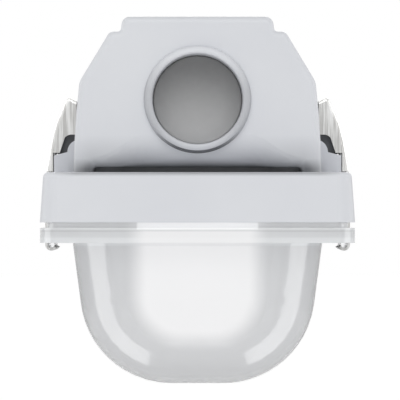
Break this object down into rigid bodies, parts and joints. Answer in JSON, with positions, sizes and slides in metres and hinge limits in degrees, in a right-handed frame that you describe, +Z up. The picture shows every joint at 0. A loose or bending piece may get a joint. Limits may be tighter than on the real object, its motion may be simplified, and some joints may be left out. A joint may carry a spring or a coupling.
{
  "type": "waterproof batten light",
  "caption": "Long damp-proof ceiling light: grey moulded housing with a clear trough cover held by steel toggle clips, gear tray, driver and LED board inside.",
  "frame": {"origin": "centre of the top face that lies against the ceiling", "axes": "+Z up, out of the ceiling face; +Y along the light; +X across it"},
  "size_m": [0.0902, 0.66, 0.104],
  "materials": {
    "housing_plastic": "satin light grey moulded polycarbonate",
    "clear_plastic": "clear moulded polycarbonate",
    "gasket_foam": "foamed in place, light grey",
    "tray_paint": "white powder coat",
    "plated_steel": "zinc plated",
    "board_mask": "white solder mask",
    "chip_phosphor": "phosphor filled",
    "rivet_aluminium": "plain",
    "driver_plastic": "fine texture",
    "terminal_plastic": "moulded",
    "button_plastic": "moulded",
    "tag_brass": "tinned",
    "plug_rubber": "matt grey",
    "seal_rubber": "matt black",
    "wire_brown": "sheath",
    "wire_blue": "sheath",
    "wire_green": "sheath",
    "wire_red": "sheath",
    "wire_black": "sheath",
    "clip_steel": "stainless spring steel, rolled finish"
  },
  "bodies": {
    "light": {"housing": "housing_plastic", "cover": "clear_plastic", "gasket": "gasket_foam", "gear_tray": "tray_paint", "tray_screws": "plated_steel", "led_board": "board_mask", "led_chips": "chip_phosphor", "board_rivets": "rivet_aluminium", "driver_case": "driver_plastic", "driver_lid": "driver_plastic", "driver_screws": "plated_steel", "terminal_block": "terminal_plastic", "board_connector": "terminal_plastic", "earth_tag": "tag_brass", "earth_screw": "plated_steel", "fixing_seals": "seal_rubber", "wire_live": "wire_brown", "wire_neutral": "wire_blue", "wire_earth": "wire_green", "wire_led_plus": "wire_red", "wire_led_minus": "wire_black"},
    "clip_left_front": {"clip_left_front": "clip_steel"},
    "clip_left_middle": {"clip_left_middle": "clip_steel"},
    "clip_left_back": {"clip_left_back": "clip_steel"},
    "clip_right_front": {"clip_right_front": "clip_steel"},
    "clip_right_middle": {"clip_right_middle": "clip_steel"},
    "clip_right_back": {"clip_right_back": "clip_steel"},
    "button_live": {"button_live": "button_plastic"},
    "button_neutral": {"button_neutral": "button_plastic"},
    "button_earth": {"button_earth": "button_plastic"},
    "cable_plug_front": {"cable_plug_front": "plug_rubber"},
    "cable_plug_back": {"cable_plug_back": "plug_rubber"}
  },
  "joints": [
    {"name": "clip_left_front_swing", "type": "hinge", "parent": "light", "child": "clip_left_front", "pos_m": [-0.0433, -0.255, -0.06495], "axis": [0, -1, 0], "range_deg": [0, 65]},
    {"name": "clip_left_middle_swing", "type": "hinge", "parent": "light", "child": "clip_left_middle", "pos_m": [-0.0433, 0, -0.06495], "axis": [0, -1, 0], "range_deg": [0, 65]},
    {"name": "clip_left_back_swing", "type": "hinge", "parent": "light", "child": "clip_left_back", "pos_m": [-0.0433, 0.255, -0.06495], "axis": [0, -1, 0], "range_deg": [0, 65]},
    {"name": "clip_right_front_swing", "type": "hinge", "parent": "light", "child": "clip_right_front", "pos_m": [0.0433, -0.255, -0.06495], "axis": [0, 1, 0], "range_deg": [0, 65]},
    {"name": "clip_right_middle_swing", "type": "hinge", "parent": "light", "child": "clip_right_middle", "pos_m": [0.0433, 0, -0.06495], "axis": [0, 1, 0], "range_deg": [0, 65]},
    {"name": "clip_right_back_swing", "type": "hinge", "parent": "light", "child": "clip_right_back", "pos_m": [0.0433, 0.255, -0.06495], "axis": [0, 1, 0], "range_deg": [0, 65]},
    {"name": "button_live_press", "type": "slide", "parent": "light", "child": "button_live", "axis": [0, 0, -1], "range_m": [0, 0.0015], "stiffness_N_per_m": 2000},
    {"name": "button_neutral_press", "type": "slide", "parent": "light", "child": "button_neutral", "axis": [0, 0, -1], "range_m": [0, 0.0015], "stiffness_N_per_m": 2000},
    {"name": "button_earth_press", "type": "slide", "parent": "light", "child": "button_earth", "axis": [0, 0, -1], "range_m": [0, 0.0015], "stiffness_N_per_m": 2000},
    {"name": "cable_plug_front_pull", "type": "slide", "parent": "light", "child": "cable_plug_front", "axis": [0, -1, 0], "range_m": [0, 0.03]},
    {"name": "cable_plug_back_pull", "type": "slide", "parent": "light", "child": "cable_plug_back", "axis": [0, 1, 0], "range_m": [0, 0.03]}
  ]
}
